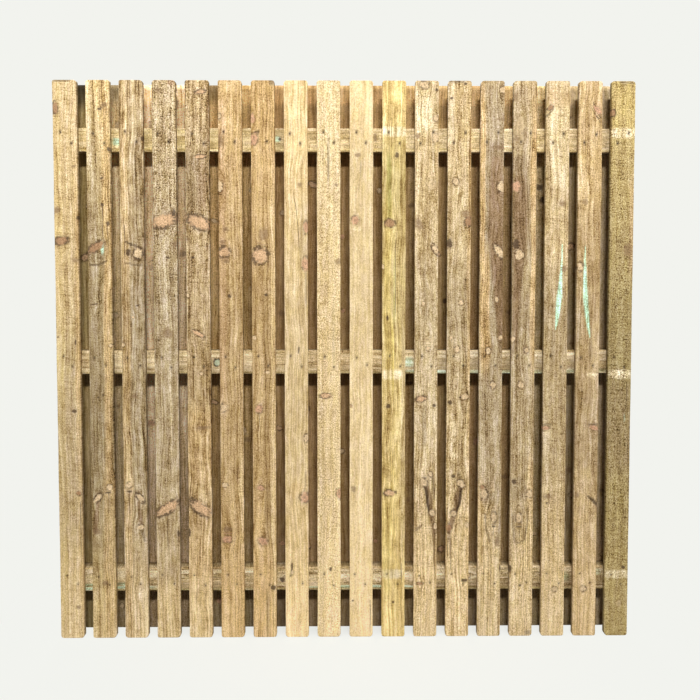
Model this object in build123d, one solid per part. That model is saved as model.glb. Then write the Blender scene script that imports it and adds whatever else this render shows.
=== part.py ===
from build123d import *
import os
from random import Random

# Double-sided paling fence panel: upright pales nailed to both faces of three rails,
# with the back pales standing behind the gaps between the front ones.
# X runs along the fence, the front faces -Y, Z is up and the pales stand on Z = 0.

# Panel and pales, in millimetres
PANEL_WIDTH = 1830.0
PALE_LENGTH = 1780.0
PALE_WIDTH = 75.0
PALE_THICKNESS = 16.0
FRONT_PALES = 18
CORNER_CUT = 5.0  # eased corner at each end of a pale

# Rails, which run the whole width between the two layers of pales
RAIL_HEIGHT = 75.0
RAIL_DEPTH = 38.0
TOP_OVERHANG = 145.0  # pale above the top rail
BOTTOM_OVERHANG = 145.0  # pale below the bottom rail

# Square-section nails, two to a crossing, one higher than the other
NAIL_SIDE = 3.0
NAIL_SINK = 1.5  # head below the pale's face
NAIL_BITE = 25.5  # depth in the rail
NAIL_SPREAD = 34.0  # between the two nails, across the pale
NAIL_DROP = 30.0  # between the two nails, down the pale
NAIL_RISE = 4.0  # middle of a front pair above the rail's centre line
NAIL_SCATTER = 4.0  # most that a nail strays from its place each way
NAIL_SEED = 5
SLANT_TURNS_AT = 12  # front pale from which the top rail's pairs slant the other way

FRONT = -1
BACK = 1
FALLING = -1  # left nail high, right nail low
RISING = 1

pale_pitch = (PANEL_WIDTH - PALE_WIDTH) / (FRONT_PALES - 1)
first_x = (PALE_WIDTH - PANEL_WIDTH) / 2
front_x = [first_x + pale_pitch * i for i in range(FRONT_PALES)]
back_x = [x + pale_pitch / 2 for x in front_x[:-1]]
outer_face = RAIL_DEPTH / 2 + PALE_THICKNESS

bottom_rail_z = BOTTOM_OVERHANG + RAIL_HEIGHT / 2
top_rail_z = PALE_LENGTH - TOP_OVERHANG - RAIL_HEIGHT / 2
RAIL_Z = {
    "bottom_rail": bottom_rail_z,
    "middle_rail": (bottom_rail_z + top_rail_z) / 2,
    "top_rail": top_rail_z,
}

hand = Random(NAIL_SEED)


def stray():
    """How far one driven nail lands from its place, along one axis."""
    return hand.uniform(-NAIL_SCATTER, NAIL_SCATTER)


def nail_pair(x, z, side, slant):
    """Places of the two nails where the pale at x crosses the rail at z.

    The panel is turned upside down to nail its back, so the back pairs sit low and slant the other way.
    """
    middle = z - side * NAIL_RISE
    left = (x - NAIL_SPREAD / 2 + stray(), middle + side * slant * NAIL_DROP / 2 + stray())
    right = (x + NAIL_SPREAD / 2 + stray(), middle - side * slant * NAIL_DROP / 2 + stray())
    return [left, right]


def nail_places(pale_centres, side):
    """Nail places of one face, as (pale number, rail name, x, z)."""
    places = []
    for number, x in enumerate(pale_centres, start=1):
        for rail, z in RAIL_Z.items():
            turned = rail == "top_rail" and number >= SLANT_TURNS_AT
            slant = RISING if turned else FALLING
            places += [(number, rail, *place) for place in nail_pair(x, z, side, slant)]
    return places


def driven_bars(places, side, start):
    """Square bars at the places, from a depth below the pales' outer face to the nails' tips."""
    tip = PALE_THICKNESS + NAIL_BITE
    bar = Box(NAIL_SIDE, tip - start, NAIL_SIDE)
    y = side * (outer_face - (start + tip) / 2)
    return [Pos(x, y, z) * bar for _, _, x, z in places]


def pale(x, side, holes):
    """Upright board with eased end corners and the holes of its own nails."""
    face = Rectangle(PALE_WIDTH, PALE_LENGTH)
    face = chamfer(face.vertices(), CORNER_CUT)
    board = extrude(Plane.XZ * face, amount=PALE_THICKNESS / 2, both=True)
    y = side * (RAIL_DEPTH + PALE_THICKNESS) / 2
    return Pos(x, y, PALE_LENGTH / 2) * board - holes


def rail(z, holes):
    """Square-cut rail, flush with the outer pales, with the nail holes of both faces."""
    return Pos(0, 0, z) * Box(PANEL_WIDTH, RAIL_DEPTH, RAIL_HEIGHT) - holes


def panel():
    """Every piece of the panel, by name."""
    pieces = {}
    rail_holes = {name: [] for name in RAIL_Z}
    for layer, centres, side in (("front", front_x, FRONT), ("back", back_x, BACK)):
        places = nail_places(centres, side)
        for number, x in enumerate(centres, start=1):
            own = [place for place in places if place[0] == number]
            pieces[f"{layer}_pale_{number:02d}"] = pale(x, side, driven_bars(own, side, 0))
        for name in RAIL_Z:
            crossing = [place for place in places if place[1] == name]
            rail_holes[name] += driven_bars(crossing, side, 0)
        pieces[f"{layer}_nails"] = Compound(driven_bars(places, side, NAIL_SINK))
    for name, z in RAIL_Z.items():
        pieces[name] = rail(z, rail_holes[name])
    return pieces


os.makedirs("parts", exist_ok=True)
for node, shape in panel().items():
    export_step(shape, f"parts/{node}.step")
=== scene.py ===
import math
import random
from dataclasses import dataclass

import bmesh
import bpy
import numpy as np
from bpy.props import FloatProperty, FloatVectorProperty, IntProperty, PointerProperty
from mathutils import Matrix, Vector


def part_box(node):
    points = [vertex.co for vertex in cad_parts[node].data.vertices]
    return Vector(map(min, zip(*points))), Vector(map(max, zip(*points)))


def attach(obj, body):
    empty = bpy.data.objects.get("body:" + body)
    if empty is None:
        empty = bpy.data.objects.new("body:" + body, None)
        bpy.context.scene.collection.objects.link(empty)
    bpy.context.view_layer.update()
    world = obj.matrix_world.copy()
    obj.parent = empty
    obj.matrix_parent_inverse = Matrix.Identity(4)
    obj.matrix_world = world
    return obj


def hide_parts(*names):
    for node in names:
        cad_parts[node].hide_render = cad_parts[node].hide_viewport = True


bl_info = {
    "name": "Paling fence panel",
    "version": (1, 0, 0),
    "blender": (4, 5, 0),
    "location": "View3D > Sidebar > Paling",
    "description": "Dresses a double-sided paling fence panel in rough-sawn treated softwood",
    "category": "Object",
}

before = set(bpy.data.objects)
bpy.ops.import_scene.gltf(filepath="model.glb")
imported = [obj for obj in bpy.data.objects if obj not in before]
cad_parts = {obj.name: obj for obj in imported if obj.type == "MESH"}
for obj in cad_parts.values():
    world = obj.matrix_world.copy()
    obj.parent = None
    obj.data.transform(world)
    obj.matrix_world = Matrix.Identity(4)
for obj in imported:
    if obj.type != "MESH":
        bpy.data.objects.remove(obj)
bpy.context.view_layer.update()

MM = 0.001
BODY = "root"
FRONT_SLOT = "front_pale_timber"
BACK_SLOT = "back_pale_timber"
RAIL_SLOT = "rail_timber"


# How each kind of knot looks: the colours of its heart wood and how strong its parts are
@dataclass
class KnotKind:
    tint: str  # palette colour inside
    inside: float = 1.0  # how far the inside takes that colour
    rim: float = 0.8  # dark bark round it
    core: float = 0.6  # dark pith in its middle
    halo: float = 0.25  # stain outside it
    part: float = 0.65  # how far the grain parts round it


KNOT_KINDS = {
    "leaf": KnotKind("peach", inside=0.95, rim=0.9, core=0.05, halo=0.4, part=0.25),
    "pale": KnotKind("cream", inside=0.9, rim=0.7, core=0.1, halo=0.25),
    "pink": KnotKind("pink", inside=0.8, rim=0.65, core=0.45, halo=0.35, part=0.45),
    "red": KnotKind("rust", inside=0.58, rim=0.75, core=0.4, halo=0.3),
    "amber": KnotKind("amber", inside=0.9, rim=0.9, core=0.2, halo=0.35, part=0.3),
    "ring": KnotKind("cream", inside=0.85, rim=0.75, core=0.3, halo=0.55),
    "spike": KnotKind("cream", inside=0.9, rim=0.95, core=0.1, halo=0.6, part=0.4),
    "ghost": KnotKind("cream", inside=0.3, rim=0.4, core=0.3, halo=0.15, part=0.5),
    "copper": KnotKind("mint", inside=0.5, rim=1.0, core=0.0, halo=0.4, part=0.6),
    "dark": KnotKind("bark", inside=0.8, rim=0.35, core=0.5, halo=0.3, part=0.5),
    "smear": KnotKind("brown", inside=0.55, rim=0.2, core=0.3, halo=0.25, part=0.25),
}


# How light an upright board's colour is along its height in mm, darkest through the middle and lighter
# towards the foot and the top
STANDING = (
    (0, 1.25), (120, 1.2), (260, 1.08), (560, 0.86), (760, 0.81), (1050, 0.8), (1400, 0.92), (1780, 1.08),
)
# The fairer boards right of the middle
FAIR = (
    (0, 1.38), (120, 1.34), (260, 1.22), (430, 1.02), (560, 0.93), (700, 0.85), (1050, 0.75), (1250, 0.85),
    (1400, 0.9), (1780, 1.06),
)
EVEN = ((0, 1.0), (1000, 1.0))
CALM_FOOT = ((0, 0.6), (170, 0.68), (450, 1.0))  # how strong the streaks are along an upright board
TORN_TOP = ((0, 0.4), (800, 0.5), (1250, 1.1), (1780, 1.25))  # how torn the fibre is on the roughest boards
# The back pales, lighter from the middle up and most near the top: painted light in the gaps and where
# light falls over the front pales' tops
PAINTED_TOP_LIGHT = (
    (0, 1.0), (1050, 1.0), (1300, 1.15), (1580, 1.2), (1650, 1.35), (1712, 1.35), (1727, 1.95), (1750, 1.8),
    (1780, 1.5),
)
# Darker towards the foot: painted shade where the bottom rail shades the back pales, then the painted top
# light
PAINTED_FOOT_SHADE = ((0, 0.62), (150, 0.65), (300, 0.75), (480, 0.8), (640, 1.0), *PAINTED_TOP_LIGHT[1:])
# Both darken the foot as painted shade; below its darker top the dim top keeps the painted top light, and
# the dark top is near black at its very top
DIM_TOP = (*PAINTED_FOOT_SHADE[:-4], (1710, 1.4), (1740, 0.7), (1780, 0.45))
DARK_TOP = ((0, 0.65), (150, 0.7), (640, 1.0), (1690, 1.0), (1725, 0.3), (1780, 0.06))
BROWNED = ((0, 0.1), (150, 0.3), (320, 1.0))  # how far up from the foot the inner face's own tint begins


# One board's figure, with places in mm across from its middle and up from its foot
@dataclass
class Plank:
    tone: tuple  # two palette colours and the share of the second
    shade: float = 1.0
    contrast: float = 1.0  # of the streaks
    fuzz: float = 0.25  # torn fibre and dark flecks
    kerf: float = 0.3  # saw lines across the board
    rings: float = 0.5  # strength of the growth rings' dark edges
    pith: tuple = (10.0, 60.0)  # middle of the tree, across and behind the outer face
    taper: float = 0.006  # how fast the rings run out along the board
    fields: tuple = ()  # colour, across, up, half width, half height, strength
    knots: tuple = ()  # kind, across, up, half width, half height, lean in degrees
    trails: tuple = ()  # colour, strength, then points of across, up, half width
    splits: tuple = ()  # points of across, up along each drying crack
    height_tone_and_light: tuple = STANDING  # points of up and how light the colour is there; on the back pales it paints light at the tops and shade at the feet
    calm: tuple = CALM_FOOT  # points of up and how strong its streaks are there
    torn: tuple = EVEN  # points of up and how torn its fibre is there


FRONT_PLANKS = [
    Plank(
        ("drab", "straw", 0.48), contrast=0.75, fuzz=0.35, kerf=0.5, pith=(-40, 45), taper=0.004,
        fields=(
            ("olive", -24, 900, 14, 900, 0.3), ("honey", 32, 800, 8, 800, 0.5),
            ("sticker", 5, 1400, 2.5, 380, 0.4), ("stain", -12, 1779, 30, 5, 0.7),
            ("straw", 0, 1300, 44, 340, 0.3), ("drab", 0, 520, 44, 240, 0.4),
        ),
        knots=(
            ("amber", -29, 1693, 9, 18, 0), ("smear", 27, 1512, 6, 4, 0), ("smear", -28, 1375, 10, 10, 0),
            ("dark", 36, 1351, 3, 6, 0), ("amber", -17, 1278, 21, 13, 12), ("dark", 3, 1284, 4, 8, 0),
            ("smear", 28, 1217, 8, 8, 0), ("dark", -31, 974, 4, 3, 0), ("dark", 24, 956, 2.5, 9, 0),
            ("dark", 16, 737, 8, 5, 0), ("red", 27, 473, 8, 8, 0), ("smear", 20, 101, 8, 6, 0),
        ),
        splits=(((31, 450), (32, 350), (31, 260)),),
    ),
    Plank(
        ("drab", "olive", 0.2), contrast=1.2, fuzz=0.5, rings=0.8, pith=(-30, 40),
        fields=(
            ("honey", 23, 1150, 13, 640, 0.6), ("grey", -20, 1330, 17, 420, 0.4),
            ("honey", 18, 280, 18, 300, 0.45), ("mint", 9, 1250, 5, 16, 0.9),
            ("heart", -12, 700, 28, 280, 0.3), ("grey", -6, 1228, 24, 16, 0.55),
        ),
        height_tone_and_light=(
            (0, 1.45), (130, 1.3), (300, 0.9), (480, 0.68), (680, 0.62), (900, 0.68), (1200, 0.78),
            (1500, 1.05), (1640, 1.35), (1780, 1.5),
        ),
        knots=(
            ("dark", 6, 1690, 6, 4, 0), ("smear", 21, 1703, 10, 7, 20), ("dark", 33, 1564, 5, 7, 0),
            ("dark", 10, 1474, 5, 3, 20), ("dark", 11, 1392, 5, 5, 0), ("dark", 29, 1333, 7, 7, 0),
            ("amber", -11, 1258, 30, 12, 33), ("dark", -19, 1078, 12, 2.5, 8), ("pale", 31, 947, 6, 5, 0),
            ("dark", -11, 781, 4, 3, 0), ("dark", 5, 789, 3, 3, 0), ("pale", 22, 493, 10, 9, 0),
            ("dark", 18, 475, 10, 2.5, 0), ("spike", -16, 457, 18, 9, 52), ("smear", -23, 348, 12, 10, 0),
            ("smear", 4, 180, 10, 7, 0),
        ),
        trails=(
            ("brown", 0.8, (-15, 442, 5), (-22, 402, 9), (-26, 350, 8)),
            ("bark", 0.8, (-30, 1201, 3), (2, 1205, 3), (24, 1216, 2.5)),
        ),
        splits=(
            ((11, 1392), (12, 1340), (10, 1280)), ((26, 1333), (28, 1280), (27, 1215)),
            ((18, 479), (19, 440), (18, 400)),
        ),
    ),
    Plank(
        ("drab", "straw", 0.18), contrast=1.5, fuzz=0.38, rings=0.8, pith=(30, 40),
        height_tone_and_light=(
            (0, 1.38), (120, 1.3), (260, 1.05), (420, 0.84), (560, 0.76), (760, 0.73), (1050, 0.68),
            (1250, 0.84), (1400, 0.92), (1780, 1.1),
        ),
        fields=(
            ("honey", -22, 890, 13, 880, 0.45), ("grey", 20, 1350, 15, 300, 0.4),
            ("heart", 0, 1080, 44, 120, 0.2),
        ),
        knots=(
            ("dark", 35, 1599, 4, 6, 0), ("spike", 17, 1239, 15, 17, -30), ("dark", -13, 1241, 7, 12, 0),
            ("dark", 15, 1074, 10, 2.5, 20), ("pale", -1, 1037, 5, 4, 0), ("pale", -34, 949, 7, 8, 0),
            ("smear", 0, 785, 9, 6, 0), ("pale", -20, 497, 10, 10, 0), ("dark", -18, 477, 9, 2.5, 0),
            ("spike", 16, 457, 18, 9, -52), ("pale", 15, 362, 11, 9, 0), ("ghost", 13, 166, 12, 8, 0),
        ),
        trails=(
            ("brown", 0.85, (9, 440, 5), (14, 403, 7), (18, 372, 6)),
            ("bark", 0.5, (20, 350, 7), (29, 318, 4)),
            ("bark", 0.9, (-19, 1275, 2.5), (-8, 1269, 4), (10, 1263, 3.5), (33, 1252, 3)),
            ("bark", 0.6, (-22, 1210, 2.5), (4, 1203, 3), (32, 1200, 2.5)),
        ),
        splits=(((-25, 1332), (-23, 1270), (-25, 1214)), ((-18, 484), (-19, 440), (-17, 400))),
    ),
    Plank(
        ("drab", "straw", 0.1), contrast=1.3, fuzz=0.9, kerf=0.45, pith=(40, 55), torn=TORN_TOP,
        fields=(
            ("sticker", 12, 730, 2.5, 170, 0.35), ("amber", 24, 1772, 12, 8, 0.5),
            ("straw", 0, 60, 44, 120, 0.85),
        ),
        knots=(
            ("smear", -17, 1749, 10, 5, 0), ("leaf", -2, 1341, 39, 20, 14), ("dark", 28, 1365, 6, 13, 0),
            ("dark", 9, 1225, 6, 4, 0), ("smear", 31, 1268, 6, 10, 0), ("dark", 29, 1104, 3, 3, 0),
            ("smear", 6, 984, 16, 15, 0), ("leaf", 0, 423, 40, 16, 32), ("dark", 34, 339, 4, 12, 0),
        ),
        splits=(((0, 396), (-1, 340), (0, 280)),),
    ),
    Plank(
        ("drab", "honey", 0.35), shade=1.06, contrast=1.5, fuzz=0.75, kerf=0.4, pith=(-40, 55),
        torn=TORN_TOP,
        height_tone_and_light=(
            (0, 1.38), (120, 1.32), (260, 1.2), (560, 0.93), (760, 0.85), (1050, 0.8), (1250, 0.82),
            (1400, 0.78), (1500, 0.72), (1620, 0.85), (1780, 1.0),
        ),
        fields=(
            ("amber", 15, 1455, 13, 80, 0.35), ("heart", -8, 1460, 34, 90, 0.45),
            ("straw", 0, 60, 44, 130, 0.75), ("honey", 0, 620, 44, 130, 0.4),
        ),
        knots=(
            ("leaf", 12, 1744, 17, 6, 8), ("leaf", 9, 1542, 18, 6, 4), ("leaf", 3, 1337, 41, 19, -25),
            ("smear", -30, 1284, 7, 8, 0), ("dark", -16, 1226, 6, 4, 0), ("leaf", -1, 984, 20, 7, -30),
            ("ring", -33, 1105, 5, 7, 0), ("pale", 8, 857, 5, 5, 0), ("smear", 12, 683, 22, 6, 5),
            ("leaf", 1, 423, 40, 17, -33), ("dark", 3, 399, 5, 4, 0), ("dark", -34, 345, 4, 14, 0),
        ),
    ),
    Plank(
        ("drab", "honey", 0.7), contrast=0.95, fuzz=0.42, rings=0.7, pith=(-25, 50),
        fields=(("rosy", -27, 1250, 12, 500, 0.45), ("straw", 31, 435, 6, 130, 0.5)),
        knots=(
            ("ring", -34, 1668, 7, 10, 0), ("smear", -30, 1591, 12, 18, 0), ("pale", -33, 1449, 10, 18, 0),
            ("leaf", -20, 1242, 18, 16, 0), ("red", -19, 1244, 6, 6, 0), ("smear", -14, 1315, 9, 7, 0),
            ("smear", -25, 1276, 9, 5, 0), ("smear", -14, 1213, 9, 6, 0), ("dark", -5, 1104, 6, 6, 0),
            ("ring", -25, 747, 11, 12, 0), ("pale", -23, 498, 9, 7, 0), ("smear", -16, 354, 15, 8, 0),
            ("pink", -16, 322, 14, 12, 0),
        ),
    ),
    Plank(
        ("honey", "drab", 0.2), contrast=0.8, fuzz=0.35, rings=0.9, pith=(-15, 35), taper=0.01,
        fields=(
            ("straw", 31, 720, 10, 720, 0.5), ("heart", 8, 900, 9, 330, 0.15),
            ("heart", 12, 402, 12, 105, 0.35), ("heart", 9, 75, 6, 78, 0.5), ("straw", 29, 345, 8, 34, 0.6),
            ("stain", 30, 1774, 9, 10, 0.7),
        ),
        knots=(
            ("pink", -33, 1662, 8, 14, 0), ("pink", -28, 1597, 12, 17, 0), ("dark", -22, 1619, 4, 4, 0),
            ("smear", 1, 1299, 16, 20, 0), ("leaf", -11, 1232, 24, 25, 0), ("red", -10, 1234, 6, 6, 0),
            ("dark", 8, 1107, 5, 5, 0),
            ("pale", -30, 972, 6, 7, 0), ("pale", 12, 861, 6, 5, 0), ("pink", -16, 743, 12, 13, 0),
            ("pink", -12, 488, 11, 8, -15), ("pink", -6, 315, 15, 12, -15), ("dark", 27, 162, 8, 9, 0),
        ),
        splits=(((-16, 729), (-15, 700), (-17, 675)),),
    ),
    Plank(
        ("straw", "honey", 0.06), contrast=0.85, fuzz=0.12, kerf=0.15, rings=0.35, pith=(50, 50),
        taper=0.003,
        fields=(
            ("drab", 26, 1310, 11, 105, 0.5), ("grey", 31, 1128, 4, 55, 0.6),
            ("honey", 2, 480, 20, 26, 0.4),
        ),
        knots=(
            ("smear", 13, 1455, 7, 8, 0), ("pink", 31, 1321, 8, 19, 0), ("pink", 31, 1205, 12, 20, 0),
            ("dark", 8, 933, 2.5, 11, 0), ("ring", 31, 649, 7, 12, 0), ("pink", 25, 457, 14, 17, 0),
            ("dark", -16, 231, 3, 15, 0), ("pale", -15, 212, 5, 7, 0),
        ),
        trails=(("brown", 0.5, (28, 545, 1.5), (29, 500, 2.5), (24, 476, 2)),),
        splits=(((-7, 1424), (2, 1370), (8, 1300), (12, 1215)),),
    ),
    Plank(
        ("straw", "sticker", 0.1), shade=0.99, contrast=0.55, fuzz=0.52, kerf=0.2, rings=0.2, pith=(10, 90),
        height_tone_and_light=((0, 1.2), (260, 1.12), (560, 0.98), (1050, 0.94), (1400, 0.86), (1780, 0.94)),
        fields=(
            ("drab", 18, 975, 6, 110, 0.45), ("drab", -24, 420, 10, 420, 0.25),
            ("grey", 0, 1540, 4, 80, 0.5),
        ),
        knots=(
            ("smear", 24, 1454, 6, 5, 0), ("smear", 30, 1213, 10, 10, 0), ("leaf", -11, 785, 17, 8, 0),
            ("dark", 2, 782, 5, 4, 0), ("pink", 33, 469, 9, 16, 0), ("dark", 5, 223, 4, 6, 0),
        ),
        splits=(((-3, 1582), (-1, 1520), (-2, 1460)),),
    ),
    Plank(
        ("straw", "sticker", 0.18), shade=1.01, contrast=0.5, fuzz=0.1, kerf=0.15, rings=0.25,
        pith=(-20, 80), taper=0.002,
        height_tone_and_light=(
            (0, 1.24), (260, 1.12), (560, 0.97), (760, 0.95), (1050, 0.86), (1400, 0.85), (1500, 0.82),
            (1650, 0.98), (1780, 1.1),
        ),
        fields=(("grey", -2, 1502, 3, 30, 0.45), ("sticker", -12, 1318, 12, 9, 0.7)),
        knots=(
            ("smear", -10, 1548, 10, 6, 0), ("pink", -19, 1343, 13, 13, 0), ("red", -32, 753, 4, 5, 0),
            ("smear", -24, 483, 8, 10, 0), ("dark", -27, 119, 3, 3, 0),
        ),
        splits=(((29, 125), (30, 60), (28, 6)),),
    ),
    Plank(
        ("olive", "straw", 0.42), shade=1.0, contrast=1.3, fuzz=0.2, rings=0.5, pith=(5, 40),
        height_tone_and_light=(
            (0, 1.28), (260, 1.16), (560, 1.0), (760, 0.96), (1050, 0.76), (1300, 0.8), (1450, 0.76),
            (1560, 0.86), (1700, 1.12), (1780, 1.22),
        ),
        fields=(
            ("sticker", 0, 1622, 39, 15, 0.9), ("sticker", -6, 853, 32, 15, 0.9),
            ("sticker", -4, 206, 34, 15, 0.95), ("green", -17, 1440, 8, 110, 0.8),
            ("olive", -18, 1150, 12, 330, 0.6), ("green", 3, 1120, 2.5, 110, 0.5),
            ("yellow", -4, 905, 4, 120, 0.4), ("yellow", -2, 430, 8, 150, 0.15),
            ("drab", 30, 640, 7, 400, 0.5), ("green", 0, 1490, 38, 110, 0.12),
            ("green", -14, 1440, 5, 90, 0.6), ("olive", -20, 300, 14, 160, 0.6),
        ),
        knots=(
            ("dark", 9, 1548, 6, 8, 0), ("amber", -13, 1335, 16, 13, 0), ("pale", -35, 1197, 5, 8, 0),
            ("dark", -20, 1033, 4, 7, 0), ("dark", -17, 751, 7, 7, 0), ("leaf", -12, 471, 17, 10, 0),
            ("dark", 0, 114, 3.5, 4, 0),
        ),
        splits=(((26, 245), (27, 200), (26, 165)), ((5, 1290), (6, 1150), (5, 1010))),
    ),
    Plank(
        ("drab", "straw", 0.58), contrast=1.2, fuzz=0.52, rings=0.6, pith=(20, 35), taper=0.008,
        height_tone_and_light=FAIR,
        fields=(
            ("sticker", -12, 1690, 24, 74, 0.55), ("drab", 26, 1680, 11, 95, 0.5),
            ("heart", 20, 1560, 5, 40, 0.45), ("heart", -2, 1120, 8, 130, 0.35),
            ("grey", -5, 690, 7, 70, 0.5), ("cream", -14, 440, 14, 40, 0.5), ("straw", 0, 60, 44, 110, 0.5),
        ),
        knots=(
            ("ring", -7, 1767, 15, 11, 0), ("dark", 30, 1752, 5, 5, 0), ("pale", 28, 1664, 8, 8, 0),
            ("smear", -29, 1607, 8, 7, 0), ("pale", 28, 1603, 10, 12, 0), ("ghost", 16, 1457, 13, 15, 0),
            ("smear", -25, 1331, 12, 20, 30), ("spike", 29, 1250, 18, 9, -55), ("pale", -10, 1079, 6, 6, 0),
            ("ghost", 5, 964, 12, 10, 0), ("pale", 6, 936, 6, 8, 0), ("leaf", -15, 775, 16, 9, 10),
            ("dark", 26, 753, 6, 5, 0), ("ring", 16, 531, 7, 8, 0), ("ring", -4, 503, 11, 14, 0),
            ("ring", 21, 405, 9, 11, 0), ("smear", -23, 356, 13, 5, 40), ("ring", 33, 362, 8, 10, 0),
            ("red", -17, 174, 10, 5, 0),
        ),
        trails=(
            (
                "brown", 0.85, (6, 486, 8), (13, 455, 10), (15, 425, 9), (19, 400, 7),
                (27, 370, 9), (32, 340, 6),
            ),
            ("bark", 0.95, (0, 490, 5), (5, 462, 5), (7, 435, 4.5), (14, 405, 4)),
            ("bark", 0.55, (22, 528, 4), (26, 490, 4), (28, 450, 2)),
            ("brown", 0.7, (26, 352, 5), (28, 300, 4), (30, 220, 2)),
        ),
        splits=(((31, 345), (31, 300), (30, 260)),),
    ),
    Plank(
        ("drab", "straw", 0.52), contrast=1.25, fuzz=0.55, rings=0.6, pith=(-20, 35), taper=0.008,
        height_tone_and_light=FAIR,
        fields=(
            ("drab", -28, 1690, 10, 90, 0.6), ("honey", 32, 900, 6, 880, 0.45),
            ("grey", 14, 640, 14, 130, 0.3), ("heart", 0, 1080, 44, 130, 0.25),
            ("straw", 0, 500, 44, 280, 0.3), ("cream", 18, 440, 14, 40, 0.5),
            ("stain", -6, 1777, 26, 5, 0.6), ("sticker", -14, 590, 7, 130, 0.4),
        ),
        knots=(
            ("dark", 17, 1770, 5, 4, 0), ("dark", -26, 1726, 6, 3, 10), ("ring", -12, 1465, 9, 11, 0),
            ("smear", 21, 1366, 15, 8, 0), ("amber", 29, 1339, 12, 15, 0), ("dark", -30, 1270, 9, 14, 0),
            ("pale", 7, 1083, 8, 8, 0), ("pale", -24, 970, 6, 6, 0), ("ring", -4, 934, 8, 11, 0),
            ("ghost", -10, 828, 9, 9, 0), ("pale", 22, 781, 13, 8, 0), ("dark", 7, 779, 4, 4, 0),
            ("dark", -27, 763, 8, 6, 0), ("dark", -14, 524, 6, 6, 0), ("ring", 11, 500, 11, 14, 30),
            ("ring", -13, 403, 9, 11, 0), ("red", -28, 356, 9, 12, 0), ("pale", 31, 366, 7, 8, 0),
            ("dark", 23, 184, 10, 5, 0),
        ),
        trails=(
            (
                "brown", 0.85, (4, 482, 8), (-1, 455, 9), (-3, 425, 8), (-10, 400, 7),
                (-20, 370, 9), (-28, 340, 6),
            ),
            ("bark", 0.95, (12, 490, 5), (9, 462, 5), (6, 435, 4.5), (-6, 405, 4)),
            ("bark", 0.5, (3, 532, 5), (9, 518, 4)),
            ("brown", 0.7, (-26, 345, 5), (-22, 300, 4), (-20, 220, 2)),
        ),
        splits=(((-30, 335), (-31, 290), (-29, 250)),),
    ),
    Plank(
        ("drab", "straw", 0.1), contrast=1.2, fuzz=0.58, rings=0.6, pith=(35, 30), taper=0.01,
        height_tone_and_light=(
            (0, 1.35), (120, 1.3), (260, 1.2), (560, 0.9), (760, 0.8), (950, 0.8), (1200, 0.62),
            (1400, 0.76), (1560, 0.83), (1780, 0.97),
        ),
        fields=(
            ("honey", -29, 1480, 9, 300, 0.8), ("grey", 14, 1640, 24, 130, 0.4),
            ("honey", -18, 1060, 16, 200, 0.7), ("honey", -26, 330, 8, 170, 0.7),
            ("straw", 0, 90, 34, 130, 0.5), ("grey", 10, 470, 22, 40, 0.35), ("grey", 15, 362, 20, 62, 0.6),
            ("heart", 6, 1400, 36, 220, 0.25), ("straw", -6, 300, 32, 130, 0.6),
        ),
        knots=(
            ("pale", 31, 1752, 9, 12, 0), ("smear", 22, 1572, 18, 6, 0), ("smear", 24, 1660, 12, 5, 0),
            ("ring", 29, 1449, 12, 18, 0), ("spike", 24, 1244, 24, 11, -55), ("pale", 17, 1093, 6, 8, 0),
            ("pale", 31, 970, 7, 8, 0), ("ring", -8, 928, 8, 10, 0), ("ring", 8, 819, 9, 11, 0),
            ("ring", -18, 465, 12, 17, 0), ("amber", -24, 489, 7, 6, 0), ("ring", 15, 390, 9, 17, 0),
            ("dark", 14, 361, 8, 2.5, 0), ("smear", 26, 310, 9, 15, 0), ("dark", 36, 223, 3, 11, 0),
        ),
        trails=(
            (
                "heart", 0.85, (14, 1570, 22), (12, 1400, 26), (12, 1290, 26), (18, 1190, 20),
                (23, 1090, 15), (28, 1000, 10), (32, 930, 6),
            ),
            (
                "brown", 0.75, (14, 1530, 18), (12, 1400, 23), (13, 1290, 23), (19, 1190, 17),
                (25, 1080, 12), (31, 960, 6),
            ),
            ("heart", 0.8, (-14, 400, 2.5), (-10, 350, 3), (2, 312, 3)),
            ("heart", 0.75, (31, 420, 3), (34, 370, 3), (30, 330, 3.5), (22, 305, 3)),
            ("cream", 0.5, (10, 520, 1), (9, 480, 9)),
        ),
        splits=(((14, 360), (13, 345), (12, 328)),),
    ),
    Plank(
        ("drab", "straw", 0.2), contrast=1.15, fuzz=0.55, rings=0.7, pith=(-35, 30), taper=0.01,
        height_tone_and_light=FAIR,
        fields=(
            ("honey", 28, 1300, 10, 420, 0.7), ("grey", -14, 1640, 22, 130, 0.35),
            ("heart", 10, 1350, 6, 130, 0.6), ("heart", 0, 1320, 38, 110, 0.2),
            ("heart", 24, 1010, 9, 50, 0.35), ("honey", 29, 420, 8, 180, 0.5),
            ("straw", 2, 110, 34, 150, 0.5), ("grey", -12, 480, 22, 40, 0.45),
            ("grey", -6, 365, 20, 60, 0.6), ("straw", 10, 300, 30, 120, 0.5), ("stain", 24, 12, 9, 8, 0.6),
        ),
        knots=(
            ("smear", -31, 1730, 7, 18, 0), ("ghost", -19, 1637, 16, 28, 0), ("smear", -26, 1600, 8, 8, 0),
            ("pink", -27, 1451, 12, 17, 0), ("dark", -26, 1268, 11, 15, 0), ("pale", -14, 1234, 14, 17, 20),
            ("pale", -32, 966, 6, 9, 0), ("ring", 10, 930, 8, 9, 0), ("ring", -6, 819, 9, 11, 0),
            ("dark", -25, 506, 8, 8, 0), ("ring", 25, 465, 10, 12, 0), ("ring", -8, 388, 10, 16, 0),
            ("dark", -8, 359, 8, 2.5, 0), ("dark", -35, 222, 4, 12, 0), ("dark", -3, 167, 4, 4, 0),
        ),
        trails=(
            (
                "heart", 0.85, (-14, 1530, 22), (-12, 1400, 25), (-12, 1290, 25), (-19, 1190, 18),
                (-23, 1100, 14), (-25, 1000, 12), (-27, 930, 10),
            ),
            (
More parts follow.
